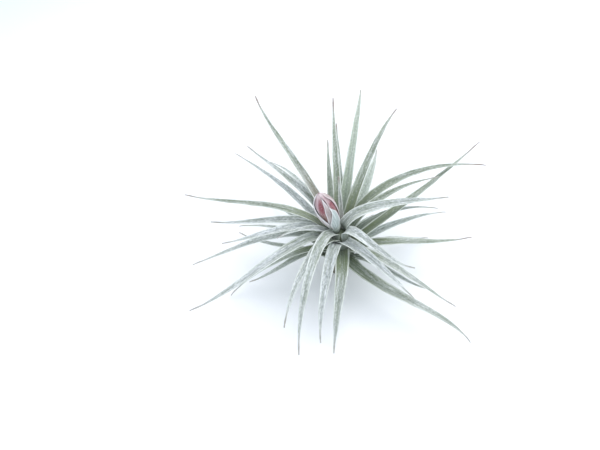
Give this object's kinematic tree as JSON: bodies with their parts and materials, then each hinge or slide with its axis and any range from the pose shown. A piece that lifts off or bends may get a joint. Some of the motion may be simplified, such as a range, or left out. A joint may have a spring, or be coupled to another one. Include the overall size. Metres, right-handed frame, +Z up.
{
  "type": "air plant",
  "caption": "Rosette of narrow, channelled, silver grey-green leaves that arch out of a short stem, with an opening pink flower spike in the middle; it stands loose on a table.",
  "frame": {"origin": "middle of the stem's flat foot, on the table top", "axes": "+Z up, along the stem; the picture is taken from the -Y side, 45 degrees above the table, with +X to its right"},
  "size_m": [0.1696, 0.1533, 0.0715],
  "materials": {
    "stem": "matt, rough, dark olive-brown",
    "leaf": "matt, silver grey-green, frosted with fine pale scales",
    "silver_bracts": "matt, silver-green to silver-pink, frosted",
    "pink_bracts": "matt, deep rose pink with pale margins"
  },
  "bodies": {
    "root": {"stem": "stem", "leaf_01": "leaf", "leaf_02": "leaf", "leaf_03": "leaf", "leaf_04": "leaf", "leaf_05": "leaf", "leaf_06": "leaf", "leaf_07": "leaf", "leaf_08": "leaf", "leaf_09": "leaf", "leaf_10": "leaf", "leaf_11": "leaf", "leaf_12": "leaf", "leaf_13": "leaf", "leaf_14": "leaf", "leaf_15": "leaf", "leaf_16": "leaf", "leaf_17": "leaf", "leaf_18": "leaf", "leaf_19": "leaf", "leaf_20": "leaf", "leaf_21": "leaf", "leaf_22": "leaf", "leaf_23": "leaf", "leaf_24": "leaf", "leaf_25": "leaf", "leaf_26": "leaf", "leaf_27": "leaf", "leaf_28": "leaf", "leaf_29": "leaf", "leaf_30": "leaf", "leaf_31": "leaf", "leaf_32": "leaf", "leaf_33": "leaf", "leaf_34": "leaf", "leaf_35": "leaf", "leaf_36": "leaf", "leaf_37": "leaf", "leaf_38": "leaf", "leaf_39": "leaf", "leaf_40": "leaf", "leaf_41": "leaf", "spike_bracts": "silver_bracts", "spike_head": "pink_bracts"}
  },
  "joints": []
}
